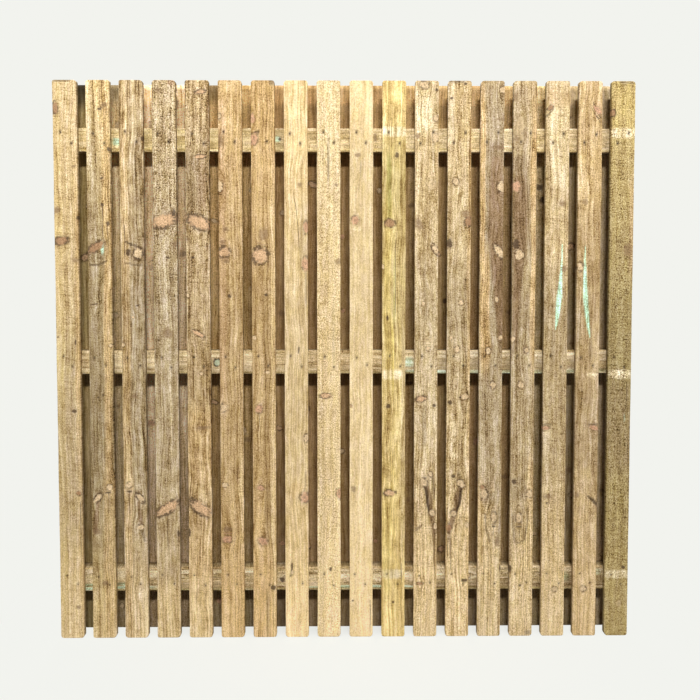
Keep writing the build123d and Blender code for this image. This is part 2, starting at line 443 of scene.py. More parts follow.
                "brown", 0.65, (-14, 1470, 18), (-12, 1400, 22), (-12, 1290, 22), (-19, 1190, 15),
                (-24, 1080, 11), (-27, 960, 8),
            ),
            ("heart", 0.8, (20, 420, 3), (18, 360, 3), (8, 315, 3), (-8, 306, 2.5)),
            ("heart", 0.75, (-30, 400, 3), (-24, 320, 3), (-10, 304, 2.5)),
            ("bark", 0.4, (10, 490, 3), (18, 478, 3)),
        ),
        splits=(((-7, 356), (-6, 335), (-7, 318)),),
    ),
    Plank(
        ("drab", "straw", 0.52), contrast=0.9, fuzz=0.48, kerf=0.6, rings=0.4, pith=(-30, 60),
        height_tone_and_light=(
            (0, 1.2), (260, 1.16), (430, 1.0), (560, 0.82), (760, 0.76), (1050, 0.74), (1250, 0.92),
            (1400, 0.86), (1780, 0.96),
        ),
        fields=(
            ("amber", 20, 1722, 14, 24, 0.3), ("rosy", -18, 1730, 16, 30, 0.3),
            ("grey", -8, 930, 6, 60, 0.5), ("sticker", 4, 1570, 34, 120, 0.3),
            ("heart", 0, 1080, 44, 120, 0.25),
        ),
        knots=(
            ("amber", -25, 1697, 10, 6, 35), ("smear", 19, 1396, 12, 8, 0), ("smear", 25, 1190, 9, 9, 0),
            ("pink", -29, 680, 13, 6.5, 6), ("ghost", 26, 650, 8, 9, 0), ("smear", -20, 457, 12, 9, 0),
            ("dark", -22, 436, 4, 3, 0), ("ring", 6, 154, 8, 8, 20),
        ),
        trails=(
            (
                "mint", 1.0, (18, 1268, 0.8), (17, 1202, 2.6), (14, 1146, 5.5), (11, 1102, 8.5),
                (7, 1064, 7.5), (3, 1018, 4), (0, 1000, 1),
            ),
            ("bark", 0.7, (-36, 1670, 2.5), (-26, 1680, 3), (-15, 1695, 2.5)),
            ("bark", 0.6, (-37, 690, 2.5), (-24, 691, 3), (-12, 690, 2.5)),
        ),
    ),
    Plank(
        ("drab", "honey", 0.32), shade=1.08, contrast=1.05, fuzz=0.38, kerf=0.35, rings=0.6, pith=(30, 60),
        fields=(
            ("rosy", 22, 1690, 12, 26, 0.35), ("grey", -27, 1000, 6, 60, 0.45),
            ("grey", 8, 945, 5, 50, 0.5), ("sticker", 18, 853, 20, 5, 0.6),
            ("straw", 0, 1480, 44, 100, 0.5), ("heart", 0, 680, 44, 140, 0.25),
        ),
        knots=(
            ("pink", 22, 1690, 16, 8, -48), ("smear", -13, 1402, 10, 10, 0), ("ring", -27, 1197, 9, 13, 0),
            ("ghost", -19, 956, 6, 9, 0), ("ghost", -18, 807, 8, 8, 0), ("pink", 26, 680, 16, 7, -22),
            ("ghost", -25, 645, 6, 8, 0), ("smear", -28, 462, 6, 8, 0), ("ring", -4, 155, 9, 9, 20),
        ),
        trails=(
            (
                "mint", 1.0, (-13, 1270, 0.8), (-12, 1202, 3.2), (-11, 1146, 6), (-9, 1096, 7.8),
                (-4, 1046, 6.5), (2, 1000, 4), (6, 974, 1),
            ),
            ("bark", 0.8, (8, 1712, 2), (17, 1692, 3.5), (32, 1664, 3)),
            ("bark", 0.9, (8, 457, 3), (22, 446, 5.5), (40, 428, 5)),
            ("bark", 0.65, (8, 690, 3), (20, 692, 3), (38, 691, 2.5)),
        ),
        splits=(((-4, 1704), (12, 1680), (38, 1652)), ((0, 1700), (16, 1672), (36, 1640))),
    ),
    Plank(
        ("drab", "olive", 0.55), shade=0.78, contrast=0.7, fuzz=0.9, kerf=0.6, rings=0.25, pith=(0, 80),
        height_tone_and_light=(
            (0, 1.08), (120, 1.05), (260, 1.0), (560, 0.86), (760, 0.74), (1050, 0.78), (1400, 1.0),
            (1600, 1.08), (1780, 1.18),
        ),
        fields=(
            ("olive", 0, 1690, 40, 95, 0.2), ("sticker", 0, 1618, 39, 15, 0.75),
            ("sticker", 2, 853, 36, 14, 0.7), ("sticker", 0, 203, 36, 13, 0.6),
            ("rosy", 30, 1330, 8, 160, 0.35), ("mint", 19, 712, 1.5, 14, 0.7),
            ("heart", 0, 680, 44, 150, 0.45), ("stain", 10, 1776, 26, 5, 0.5),
        ),
        knots=(
            ("amber", -33, 1680, 8, 11, 0), ("smear", 20, 1250, 14, 20, 0), ("dark", 22, 225, 6, 6, 0),
            ("ghost", 8, 107, 9, 10, 0),
        ),
        splits=(((22, 830), (23, 780), (22, 720)),),
    ),
]


def colour(name, description, default):
    """A palette colour that a user can change."""
    return FloatVectorProperty(
        name=name, description=description, subtype="COLOR", size=3, min=0.0, max=1.0, default=default
    )


def length(name, description, default):
    """A size in metres that a user can change."""
    return FloatProperty(name=name, description=description, unit="LENGTH", min=0.0, default=default)


def power(name, description, default):
    """A lamp's power in watts that a user can change."""
    return FloatProperty(name=name, description=description, unit="POWER", min=0.0, default=default)


class TimberSettings(bpy.types.PropertyGroup):
    """Colours and worked edges of the boards."""

    straw: colour("Straw", "Palest sapwood", (0.80, 0.585, 0.30))
    honey: colour("Honey", "Warm sapwood", (0.66, 0.43, 0.185))
    drab: colour("Drab", "Weathered grey-brown wood", (0.50, 0.365, 0.20))
    olive: colour("Olive", "Wood yellowed by the preservative", (0.62, 0.445, 0.135))
    heart: colour("Heart", "Dark heartwood", (0.29, 0.195, 0.10))
    grey: colour("Grey", "Blue-stained wood", (0.36, 0.265, 0.155))
    rosy: colour("Rosy", "Pinkish wood beside the bark", (0.55, 0.34, 0.18))
    cream: colour("Cream", "Light knot wood", (0.80, 0.59, 0.34))
    peach: colour("Peach", "Knot wood cut along the branch", (0.72, 0.46, 0.25))
    pink: colour("Pink", "Round live knots", (0.68, 0.385, 0.225))
    rust: colour("Rust", "Torn red-brown knots", (0.46, 0.22, 0.10))
    amber: colour("Amber", "Resinous knots", (0.42, 0.235, 0.115))
    brown: colour("Brown", "Smears of bark and resin", (0.26, 0.155, 0.075))
    bark: colour("Bark", "Bark round dead knots, and cracks", (0.075, 0.042, 0.02))
    stain: colour("Stain", "Dirt at the board ends", (0.20, 0.14, 0.08))
    sticker: colour("Sticker", "Unstained bands where stacking laths lay", (0.90, 0.73, 0.45))
    mint: colour("Mint", "Copper salts left by the preservative", (0.60, 0.86, 0.62))
    green: colour("Green", "Streaks of preservative", (0.36, 0.30, 0.085))
    yellow: colour("Yellow", "Bright yellow sapwood", (0.84, 0.64, 0.15))
    arris: length("Arris", "Radius worn on the long edges", 0.0014)
    ease: length("Eased corner", "Mean radius of the corners at the ends", 0.0075)
    relief: length("Relief", "Depth of the sawn face's unevenness", 0.0004)
    stray: length("Edge wander", "How far the long edges wander inwards", 0.0009)
    roughness: FloatProperty(
        name="Roughness", description="Roughness of the sawn wood", subtype="FACTOR",
        min=0.0, max=1.0, default=0.82,
    )


class NailSettings(bpy.types.PropertyGroup):
    """Sizes of the driven nails."""

    head_radius: length("Head radius", "Radius of the nail's head", 0.00175)
    head_depth: length("Head depth", "Thickness of the nail's head", 0.0012)
    shank_radius: length("Shank radius", "Radius of the nail's shank", 0.0013)
    pit_radius: length("Pit radius", "Radius of the dent round the head", 0.0032)
    pit_depth: length("Pit depth", "Depth of the dent round the head", 0.004)
    steel: colour("Steel", "Dull nail steel", (0.10, 0.085, 0.07))
    seed: IntProperty(name="Seed", description="Turns of the nail heads", default=4)


class StageSettings(bpy.types.PropertyGroup):
    """Backdrop, light and camera."""

    backdrop: colour("Backdrop", "Plain pale surroundings", (0.888, 0.896, 0.855))
    side_power: power("Side power", "Power of each side lamp in watts", 82.0)
    front_power: power("Front power", "Power of the front lamp in watts", 310.0)
    back_power: power("Back power", "Power of the lamp behind in watts", 85.0)
    fill: FloatProperty(
        name="Fill", description="Strength of the light from all round", min=0.0, default=0.01
    )
    lens: FloatProperty(name="Lens", description="Focal length in millimetres", min=1.0, default=29.8)


def palette():
    """The timber colours by name."""
    timber = bpy.context.scene.paling_timber
    return {name: np.array(getattr(timber, name)) for name in TONES}


TONES = (
    "straw", "honey", "drab", "olive", "heart", "grey", "rosy", "cream", "peach", "pink", "rust", "amber",
    "brown", "bark", "stain", "sticker", "mint", "green", "yellow",
)
END_ROWS = (0.0, 0.7, 1.6, 3.0, 5.0, 7.5)  # rows near a board's ends, in mm from the end
END_WEAR = 0.05  # how much thinner a board is at its very ends
ARRIS_POINTS = 4  # section points on each narrow edge
EASE_SPREAD = (0.75, 1.35)  # least and most of the mean radius at an end corner
EDGE_WAVE = 420.0  # how far apart the bends of a long edge are, in mm
RELIEF_WAVE = 60.0  # how far apart the hollows of a sawn face are, in mm
RELIEF_SLANT = 9.0  # how far a hollow runs along for each mm across
GRAIN_DRIFT = ((6.0, 900.0), (1.5, 240.0))  # how far the grain wanders across, and in what wave, in mm
PARTED_OVER = 1.1  # how far the grain parts round a knot, across and along it, in the knot's half sizes
PARTED_ALONG = 1.7
PARTED_MORE = 8.0  # and further along, in mm
PARTED_FADE = 1.3  # how fast it closes again
FAR_AWAY = 9.0  # place of a point that is near no knot
KNOT_REACH = (1.5, 2.1)  # where a knot's own finish fades out, and where it ends, in its half sizes
HALO_REACH = (0.9, 1.9)  # the same for the stain round it
FIELD_EDGE = (0.7, 1.25)  # the same for a field of colour
TRAIL_EDGE = (0.6, 1.3)  # the same for a trail
CRACK_REACH = 14.0  # how far from a crack its distance is kept, in mm
CRACK_FOOT = 0.25  # shares of a crack's length over which it opens from its foot and closes at its head
CRACK_HEAD = 0.075
DENT_DARK_REACH = (2.2, 4.6)  # radii where the dark round a nail fades out and where it ends, in mm: painted shade in the dent and a stain round it
NAIL_SHADE_AND_STAIN = ((200, 0.45), (900, 0.7), (1600, 1.0))  # how dark the dents are painted along the height of a board, as painted shade and stain
SHORT_FIELD = 100.0  # fields higher than this follow the grain
FIGURE_STEPS = (61.0, 173.0, 911.0)  # how far apart two boards' figures lie in the noise, in mm
BOARD_SEED = 17
BOARD_SEED_STEP = 7919


@dataclass
class Cut:
    """A board's size in mm, how finely its faces are divided, and where its points go."""

    length: float
    width: float
    thickness: float
    spaces: int  # across the outer face, a multiple of three
    step: float  # along the board
    put: object  # places points given across, deep and along
    inner: tuple = (1.0, 1.0, 1.0)  # what the inner face's colour is multiplied by: painted shade inside the front pales and rails, a browner tone on the back pales
    inner_share: tuple = EVEN  # points of up and how far that holds there


def smoothstep(low, high, value):
    """Rises from 0 at low to 1 at high, or falls where low is the greater."""
    x = np.clip((value - low) / (high - low), 0.0, 1.0)
    return x * x * (3.0 - 2.0 * x)


def wander(rng, along, wave):
    """A smooth random line between -1 and 1, with bends about a wave apart."""
    line = np.zeros_like(along)
    for share, part in ((0.55, 1.0), (0.3, 0.43), (0.15, 0.21)):
        phase = rng.uniform(0.0, 2.0 * math.pi)
        line += share * np.sin(2.0 * math.pi * along / (wave * part * rng.uniform(0.8, 1.2)) + phase)
    return line


def section(cut, arris):
    """Points round a board's section, across and deep: outer face, right edge, inner face, left edge."""
    half = cut.width / 2
    deep = cut.thickness
    bend = arris * (1.0 - math.sqrt(0.5))
    outer = [(x, 0.0) for x in np.linspace(arris - half, half - arris, cut.spaces + 1)]
    right = [(half - bend, bend), (half, arris), (half, deep - arris), (half - bend, deep - bend)]
    inner = [(x, deep) for x in np.linspace(half - arris, arris - half, cut.spaces // 3 + 1)]
    left = [(-x, t) for x, t in reversed(right)]
    return np.array(outer + right + inner + left)


def row_heights(cut):
    """Heights of the rows of points along a board, closer together at its ends."""
    start = END_ROWS[-1] + cut.step / 2
    count = max(2, round((cut.length - 2 * start) / cut.step))
    middle = np.linspace(start, cut.length - start, count + 1)
    low = np.array(END_ROWS)
    return np.concatenate([low, middle, cut.length - low[::-1]])


def ease_corners(rng, across, along, cut, ease):
    """Draws the ends of the long edges in to rounded corners, each of its own radius."""
    half = cut.width / 2
    for side in (-1, 1):
        for far in (0.0, cut.length):
            radius = ease * rng.uniform(*EASE_SPREAD)
            away = np.clip(np.abs(along - far) / radius, 0.0, 1.0)
            inset = radius * (1.0 - np.sqrt(1.0 - (1.0 - away) ** 2))
            across = np.where(across * side > 0, across * (half - inset) / half, across)
    return across


def dent_nails(across, depth, along, cut, nails, radius, deep):
    """Gathers the points nearest each nail into a round dent in the outer face."""
    face = cut.spaces + 1
    for place, height in nails:
        row = int(np.argmin(np.abs(along[:, 0] - height)))
        column = int(np.argmin(np.abs(across[row, :face] - place)))
        column = min(max(column, 1), face - 2)
        for down in (-1, 0, 1):
            for over in (-1, 0, 1):
                reach = radius / math.hypot(down, over) if (down or over) else 0.0
                across[row + down, column + over] = place + over * reach
                along[row + down, column + over] = height + down * reach
                depth[row + down, column + over] = 0.0 if reach else deep


def board_points(rng, cut, nails):
    """Points of one board as grids of across, depth and along, in mm."""
    timber = bpy.context.scene.paling_timber
    ring = section(cut, timber.arris / MM)
    rows = row_heights(cut)
    along = np.repeat(rows[:, None], len(ring), axis=1)
    across = np.repeat(ring[None, :, 0], len(rows), axis=0)
    depth = np.repeat(ring[None, :, 1], len(rows), axis=0)
    half = cut.width / 2
    for side in (-1, 1):
        inset = timber.stray / MM * (0.5 + 0.5 * wander(rng, rows, EDGE_WAVE))[:, None]
        across = np.where(across * side > 0, across * (half - inset) / half, across)
    across = ease_corners(rng, across, along, cut, timber.ease / MM)
    relief = timber.relief / MM * (0.5 + 0.5 * wander(rng, along + RELIEF_SLANT * across, RELIEF_WAVE))
    middle = cut.thickness / 2
    depth = np.where(depth < middle, depth + relief * (1 - depth / middle), depth)
    end = np.minimum(along, cut.length - along)
    wear = END_WEAR * (1.0 - np.clip(end / END_ROWS[1], 0.0, 1.0))
    depth = middle + (depth - middle) * (1.0 - wear)
    pit = bpy.context.scene.paling_nails
    dent_nails(across, depth, along, cut, nails, pit.pit_radius / MM, pit.pit_depth / MM)
    return across, depth, along


def board_faces(rows, cut):
    """Side faces and end faces of a board, as point numbers."""
    inner = cut.spaces // 3
    outer_end = cut.spaces
    inner_start = outer_end + ARRIS_POINTS + 1
    inner_end = inner_start + inner
    ring = inner_end + ARRIS_POINTS + 1
    sides = [
        (j * ring + i, j * ring + (i + 1) % ring, (j + 1) * ring + (i + 1) % ring, (j + 1) * ring + i)
        for j in range(rows - 1)
        for i in range(ring)
    ]
    strips = [
        list(range(3 * k, 3 * k + 4)) + [inner_end - k - 1, inner_end - k]
        for k in range(inner)
    ]
    strips.append(list(range(outer_end, inner_start + 1)))
    strips.append(list(range(inner_end, ring)) + [0])
    last = (rows - 1) * ring
    ends = [strip[::-1] for strip in strips] + [[last + p for p in strip] for strip in strips]
    return sides, ends


def lean_to(across, along, knot):
    """Places relative to a knot, along and square to its own leaning axis."""
    _, place, height, _, _, lean = knot
    turn = math.radians(lean)
    u = across - place
    v = along - height
    return u * math.cos(turn) + v * math.sin(turn), v * math.cos(turn) - u * math.sin(turn)


def grain_flow(across, along, knots):
    """Across places as the grain sees them, parted round the knots as water round stones."""
    flow = across.copy()
    for knot in knots:
        kind, place, height, wide, high, lean = knot
        turn = math.radians(lean)
        reach_over = PARTED_OVER * math.hypot(wide * math.cos(turn), high * math.sin(turn))
        reach_along = PARTED_ALONG * math.hypot(wide * math.sin(turn), high * math.cos(turn)) + PARTED_MORE
        u = across - place
        v = along - height
        d2 = (u / reach_over) ** 2 + (v / reach_along) ** 2
        flow -= u / np.maximum(d2, 1.0) ** PARTED_FADE * KNOT_KINDS[kind].part
    return flow


def near_knots(across, along, knots):
    """The nearest knot at each point: its number, and the place within it where 1 is its rim."""
    best = np.full(across.shape, FAR_AWAY)
    number = np.zeros(across.shape, int)
    spot = np.full(across.shape + (2,), FAR_AWAY)
    for i, knot in enumerate(knots):
        u, v = lean_to(across, along, knot)
        u = u / knot[3]
        v = v / knot[4]
        d = np.hypot(u, v)
        closer = d < best
        best = np.where(closer, d, best)
        number = np.where(closer, i, number)
        spot[closer] = np.stack([u, v], axis=-1)[closer]
    return best, number, spot


def trail_weight(across, along, points):
    """How far each point lies within a tapering streak drawn through the given places."""
    weight = np.zeros(across.shape)
    for (s0, h0, w0), (s1, h1, w1) in zip(points, points[1:]):
        ds = s1 - s0
        dh = h1 - h0
        f = np.clip(((across - s0) * ds + (along - h0) * dh) / (ds * ds + dh * dh), 0.0, 1.0)
        off = np.hypot(across - s0 - f * ds, along - h0 - f * dh)
        weight = np.maximum(weight, 1.0 - smoothstep(*TRAIL_EDGE, off / (w0 + f * (w1 - w0))))
    return weight


def crack_distance(across, along, splits):
    """Signed distance to the nearest crack, in mm, and how open it is there."""
    distance = np.full(across.shape, CRACK_REACH)
    opening = np.zeros(across.shape)
    for split in splits:
        line = sorted(split, key=lambda point: point[1])
        heights = [point[1] for point in line]
        middle = np.interp(along, heights, [point[0] for point in line])
        foot = heights[0]
        head = heights[-1]
        slope = abs(line[-1][0] - line[0][0]) / (head - foot)
        off = (across - middle) / math.hypot(1.0, slope)
        inside = smoothstep(foot, foot + CRACK_FOOT * (head - foot), along)
        inside = inside * smoothstep(head, head - CRACK_HEAD * (head - foot), along)
        closer = np.abs(off) < np.abs(distance)
        distance = np.where(closer, off, distance)
        opening = np.where(closer, inside, opening)
    return distance, opening


def paint(base, tone, weight):
    """Lays a colour over the tint where the weight is."""
    return base + (tone - base) * weight[..., None]


def board_figure(rng, plank, number, across, depth, along, outer, nails):
    """Everything that the timber finish reads at each point of a board."""
    tones = palette()
    first, second, share = plank.tone
    flow = grain_flow(across, along, plank.knots)
    drift = sum(reach * wander(rng, along, wave) for reach, wave in GRAIN_DRIFT)
    pith_over, pith_deep = plank.pith
    ring = np.hypot(flow + drift - pith_over, depth - pith_deep) + plank.taper * along

    tint = np.empty(across.shape + (3,))
    tint[:] = plank.shade * (tones[first] + (tones[second] - tones[first]) * share)
    tint *= np.interp(along, *zip(*plank.height_tone_and_light))[..., None]
    streak = flow + 0.5 * drift
    for name, place, height, wide, high, strength in plank.fields:
        over = streak if high > SHORT_FIELD else across
        d = ((np.abs(over - place) / wide) ** 4 + (np.abs(along - height) / high) ** 4) ** 0.25
        tint = paint(tint, tones[name], strength * (1.0 - smoothstep(*FIELD_EDGE, d)))
    for name, strength, *points in plank.trails:
        tint = paint(tint, tones[name], strength * trail_weight(across, along, points))

    # Each nail's dent is darkened with bark colour: painted shade in the dent, and a stain round the nail
    for place, height in nails:
        away = np.hypot(across - place, along - height)
        dent_dark = np.interp(height, *zip(*NAIL_SHADE_AND_STAIN))
        tint = paint(tint, tones["bark"], outer * dent_dark * (1.0 - smoothstep(*DENT_DARK_REACH, away)))

    best, which, spot = near_knots(across, along, plank.knots)
    kinds = [KNOT_KINDS[knot[0]] for knot in plank.knots] or [KNOT_KINDS["ghost"]]
    halo = np.array([kind.halo for kind in kinds])[which]
    tint = paint(tint, tones["brown"], halo * (1.0 - smoothstep(*HALO_REACH, best)))
    make = np.array([(kind.inside, kind.rim, kind.core) for kind in kinds])[which]
    presence = 1.0 - smoothstep(*KNOT_REACH, best)
    knot_tint = np.array([tones[kind.tint] for kind in kinds])[which]
    distance, opening = crack_distance(across, along, plank.splits)
    face = np.where(outer, 1.0, 0.0)
    calm = np.interp(along, *zip(*plank.calm))
    torn = np.interp(along, *zip(*plank.torn))
    ring_step, fibre_step, along_step = (step * number for step in FIGURE_STEPS)
    return {
        "tint": tint,
        "knot_tint": knot_tint,
        "figure": np.stack([ring + ring_step, flow + drift + fibre_step, along + along_step], axis=-1),
        "knot": np.stack([spot[..., 0], spot[..., 1], presence], axis=-1),
        "knot_make": make,
        "sawn": np.stack([plank.contrast * calm, plank.fuzz * calm * torn, plank.kerf * calm], axis=-1),
        "crack": np.stack([distance, opening * face, np.full(across.shape, plank.rings)], axis=-1),
    }


COLOUR_ATTRIBUTES = ("tint", "knot_tint")


def board_mesh(name, cut, plank, number, nails=()):
    """One board as a mesh that carries its own figure."""
    rng = random.Random(number * BOARD_SEED_STEP + BOARD_SEED)
    across, depth, along = board_points(rng, cut, nails)
    outer = depth < cut.thickness / 2
    figure = board_figure(rng, plank, number, across, depth, along, outer, nails)
    # The inner faces' colour is multiplied here: painted shade on the front pales and rails, a browner tone
    # on the back pales
    share = np.interp(along, *zip(*cut.inner_share)) * ~outer
    figure["tint"] *= 1.0 + (np.array(cut.inner) - 1.0) * share[..., None]
    sides, ends = board_faces(len(along), cut)
    points = np.stack(cut.put(across, depth, along), axis=-1).reshape(-1, 3) * MM
    mesh = bpy.data.meshes.new(name)
    mesh.from_pydata(points.tolist(), [], sides + ends)
    smooth = np.zeros(len(sides) + len(ends), bool)
    smooth[: len(sides)] = True
    mesh.polygons.foreach_set("use_smooth", smooth)
    for key, values in figure.items():
        flat = np.ascontiguousarray(values.reshape(-1, 3), dtype=np.float32)
        if key in COLOUR_ATTRIBUTES:
            flat = np.concatenate([flat, np.ones((len(flat), 1), np.float32)], axis=1)
            layer = mesh.attributes.new(key, "FLOAT_COLOR", "POINT")
            layer.data.foreach_set("color", flat.ravel())
        else:
            layer = mesh.attributes.new(key, "FLOAT_VECTOR", "POINT")
            layer.data.foreach_set("vector", flat.ravel())
    end = mesh.attributes.new("end", "FLOAT", "FACE")
    end.data.foreach_set("value", (~smooth).astype(np.float32))
    mesh.update()
    return mesh


class Value:
    """A shader output that can be written into sums and products."""

    def __init__(self, graph, socket):
        self.graph = graph
        self.socket = socket

    def __add__(self, other):
        return self.graph.math("ADD", self, other)

    def __sub__(self, other):
        return self.graph.math("SUBTRACT", self, other)

    def __rsub__(self, other):
        return self.graph.math("SUBTRACT", other, self)

    def __mul__(self, other):
        return self.graph.math("MULTIPLY", self, other)

    def __truediv__(self, other):
        return self.graph.math("DIVIDE", self, other)

    def __pow__(self, other):
        return self.graph.math("POWER", self, other)

    def __abs__(self):
        return self.graph.math("ABSOLUTE", self)

    __radd__ = __add__
    __rmul__ = __mul__


class Graph:
    """The nodes of one material or world, built from Python expressions."""

    def __init__(self, owner):
        owner.use_nodes = True
        self.tree = owner.node_tree
        self.tree.nodes.clear()

    def node(self, kind, settings=None, inputs=None, output=0):
        """Adds a node, its settings before the values or links of its sockets, and gives one output."""
        node = self.tree.nodes.new(kind)
        for key, value in (settings or {}).items():
            setattr(node, key, value)
        for key, value in (inputs or {}).items():
            socket = next(s for s in node.inputs if key in (s.identifier, s.name) and s.enabled)
            if isinstance(value, Value):
                self.tree.links.new(value.socket, socket)
            else:
                socket.default_value = value
        if isinstance(output, str):
            return Value(self, next(s for s in node.outputs if output in (s.identifier, s.name)))
        return Value(self, node.outputs[output]) if node.outputs else None

    def math(self, operation, first, second=None):
        inputs = {"Value": first} if second is None else {"Value": first, "Value_001": second}
        return self.node("ShaderNodeMath", {"operation": operation}, inputs)

    def ramp(self, value, low, high):
        """Rises smoothly from 0 at low to 1 at high, or falls where low is the greater."""
        flip = low > high
        rise = self.node(
            "ShaderNodeMapRange",
            {"interpolation_type": "SMOOTHSTEP"},
            {"Value": value, "From Min": min(low, high), "From Max": max(low, high)},
        )
        return 1.0 - rise if flip else rise

    def mix(self, share, first, second):
        """One colour over another."""
        return self.node(
            "ShaderNodeMix",
            {"data_type": "RGBA"},
            {"Factor_Float": share, "A_Color": first, "B_Color": second},
            "Result_Color",
        )

    def parts(self, vector):
        """The three numbers in a vector."""
        node = self.node("ShaderNodeSeparateXYZ", None, {"Vector": vector}).socket.node
        return [Value(self, output) for output in node.outputs]

    def vector(self, x, y, z):
        return self.node("ShaderNodeCombineXYZ", None, {"X": x, "Y": y, "Z": z})

    def attribute(self, name, output="Vector"):
        return self.node("ShaderNodeAttribute", {"attribute_name": name}, None, output)

    def noise(self, vector, detail=2.0, roughness=0.5):
        """Soft random values round a half."""
        return self.node(
            "ShaderNodeTexNoise",
            {"noise_dimensions": "3D"},
            {"Vector": vector, "Scale": 1.0, "Detail": detail, "Roughness": roughness},
            "Fac",
        )

    def scale(self, tint, factor):
        """A colour times a vector."""
        return self.node(
            "ShaderNodeVectorMath", {"operation": "MULTIPLY"}, {"Vector": tint, "Vector_001": factor}
        )


def opaque(tone):
    """A palette colour as a shader socket takes it."""
    return (*tone, 1.0)


# Sizes of the grain's noises in mm: across the fibre, through the rings and along the board
BROAD_GRAIN = (15.0, 22.0, 520.0)
MEDIUM_GRAIN = (4.6, 7.0, 190.0)
STREAK_GRAIN = (2.9, 5.0, 55.0)
FINE_GRAIN = (1.2, 2.5, 34.0)
PATCH_GRAIN = (24.0, 60.0, 46.0)
CAST_GRAIN = (8.0, 30.0, 40.0)
WARP_GRAIN = (5.0, 9.0, 7.0)
# The same for the marks of the saw, which lie across the fibre: across, along and through
RASP_MARKS = (8.0, 3.0, 30.0)
GRIT_MARKS = (1.7, 2.9, 9.0)
FLECK_MARKS = (2.9, 4.0, 14.0)
RING_PITCH = 6.2  # of the growth rings, in mm
BUMP_STRENGTH = 0.45
BUMP_DEPTH = 0.0012  # in metres
TIMBER_GLOSS = 0.25


def timber_finish(name):
    """Rough-sawn softwood that follows the figure each board carries."""
    timber = bpy.context.scene.paling_timber
    material = bpy.data.materials.new(name)
    g = Graph(material)
    bark = opaque(timber.bark)
    ring, fibre, along = g.parts(g.attribute("figure"))
    over, up, present = g.parts(g.attribute("knot"))
    inside, rim, core = g.parts(g.attribute("knot_make"))
    contrast, fuzz, kerf = g.parts(g.attribute("sawn"))
    crack, opening, rings = g.parts(g.attribute("crack"))
    end = g.attribute("end", "Fac")

    def grain(size, detail, roughness=0.5):
        """Noise drawn out along the fibre."""
        wide, deep, long = size
        return g.noise(g.vector(fibre / wide, ring / deep, along / long), detail, roughness)

    def marks(size, detail, roughness=0.5):
        """Noise that lies across the fibre."""
        wide, long, deep = size
        return g.noise(g.vector(fibre / wide, along / long, ring / deep), detail, roughness)

    broad = grain(BROAD_GRAIN, 2.0)
    medium = grain(MEDIUM_GRAIN, 3.0, 0.6)
    streak = grain(STREAK_GRAIN, 2.0, 0.55)
    fine = grain(FINE_GRAIN, 2.0)
    patch = grain(PATCH_GRAIN, 3.0, 0.6)
    turn = g.math("FRACT", ring / RING_PITCH + 0.7 * medium)
    late = g.ramp(turn, 0.45, 0.93) * g.ramp(turn, 1.0, 0.95)

    saw = g.noise(g.vector(along / 3.1 + 0.04 * fibre, 0.0, fibre / 70.0), 1.0)
    rasp = marks(RASP_MARKS, 1.0)
    grit = marks(GRIT_MARKS, 1.0)
    fleck = marks(FLECK_MARKS, 2.0, 0.6)
    torn = g.ramp(fleck + 0.4 * (saw - 0.5) + 0.3 * (grit - 0.5), 0.53, 0.68) * (0.08 + fuzz)
    hair = g.ramp(fleck, 0.46, 0.32) * (0.1 + fuzz)
    lines = g.ramp(0.5 * (saw + rasp), 0.5, 0.62) * kerf

    swing = 1.15 * (broad - 0.5) + 1.25 * (medium - 0.5) + 0.7 * (streak - 0.5) + 0.5 * (fine - 0.5)
    swing = swing + 1.1 * (patch - 0.5)
    level = 1.0 + contrast * swing - 0.38 * rings * late - 0.5 * torn + 0.36 * hair - 0.32 * lines
    level = level - (0.6 + 1.3 * fuzz) * (fleck - 0.5)
    level = g.math("MAXIMUM", level + 0.09, 0.12)
    cast = grain(CAST_GRAIN, 2.0)
    shade = g.vector(level, level ** 1.23, level ** 1.72 * (0.97 + 0.5 * (cast - 0.5)))
    wood = g.scale(g.attribute("tint", "Color"), shade)

    warp = grain(WARP_GRAIN, 2.0)
    reach = g.math("SQRT", over * over + up * up) + 1.3 * (warp - 0.5)
    within = g.ramp(reach, 1.15, 0.75) * present
    year = g.math("SINE", reach * 15.0 + 9.0 * warp) * 0.5 + 0.5
    knot_level = 1.12 - 0.5 * g.ramp(year, 0.5, 0.95) + 0.6 * (streak - 0.5) + 0.9 * (fleck - 0.5)
    knot_wood = g.scale(
        g.attribute("knot_tint", "Color"), g.vector(knot_level, knot_level ** 1.2, knot_level ** 1.5)
    )
    wood = g.mix(within * inside, wood, knot_wood)
    pith = g.ramp(reach, 0.34, 0.08) * present * core
    gaps = g.noise(g.vector(over * 1.1, up * 1.1, along / 60.0), 1.0)
    broken = g.ramp(gaps + 0.4 * (rim - 0.75), 0.4, 0.6)
    edge = g.ramp(abs(reach - 1.05), 0.42, 0.08) * present * rim * broken
    wood = g.mix(g.math("MAXIMUM", pith * 0.7, edge * 0.85), wood, bark)

    gape = g.ramp(abs(crack) + 1.2 * (fine - 0.5), 1.15, 0.35) * opening
    wood = g.mix(gape * 0.9, wood, bark)
    end_level = 0.62 - 0.3 * late + 0.5 * (fine - 0.5)
    end_shade = g.vector(end_level, end_level * 0.93, end_level * 0.82)
    end_wood = g.scale(g.attribute("tint", "Color"), end_shade)
    wood = g.mix(end, wood, end_wood)

    height = 0.5 * medium + 0.35 * fine + 0.5 * hair - 0.8 * torn - 0.3 * lines - 0.5 * edge - 1.2 * gape
    bump = g.node(
        "ShaderNodeBump",
        None,
        {"Strength": BUMP_STRENGTH, "Distance": BUMP_DEPTH, "Height": height},
        "Normal",
    )
    rough = timber.roughness + 0.12 * torn - 0.12 * within + 0.15 * (medium - 0.5)
    surface = g.node(
        "ShaderNodeBsdfPrincipled",
        None,
        {"Base Color": wood, "Roughness": rough, "Normal": bump, "Specular IOR Level": TIMBER_GLOSS},
    )
    g.node("ShaderNodeOutputMaterial", None, {"Surface": surface})
    return material


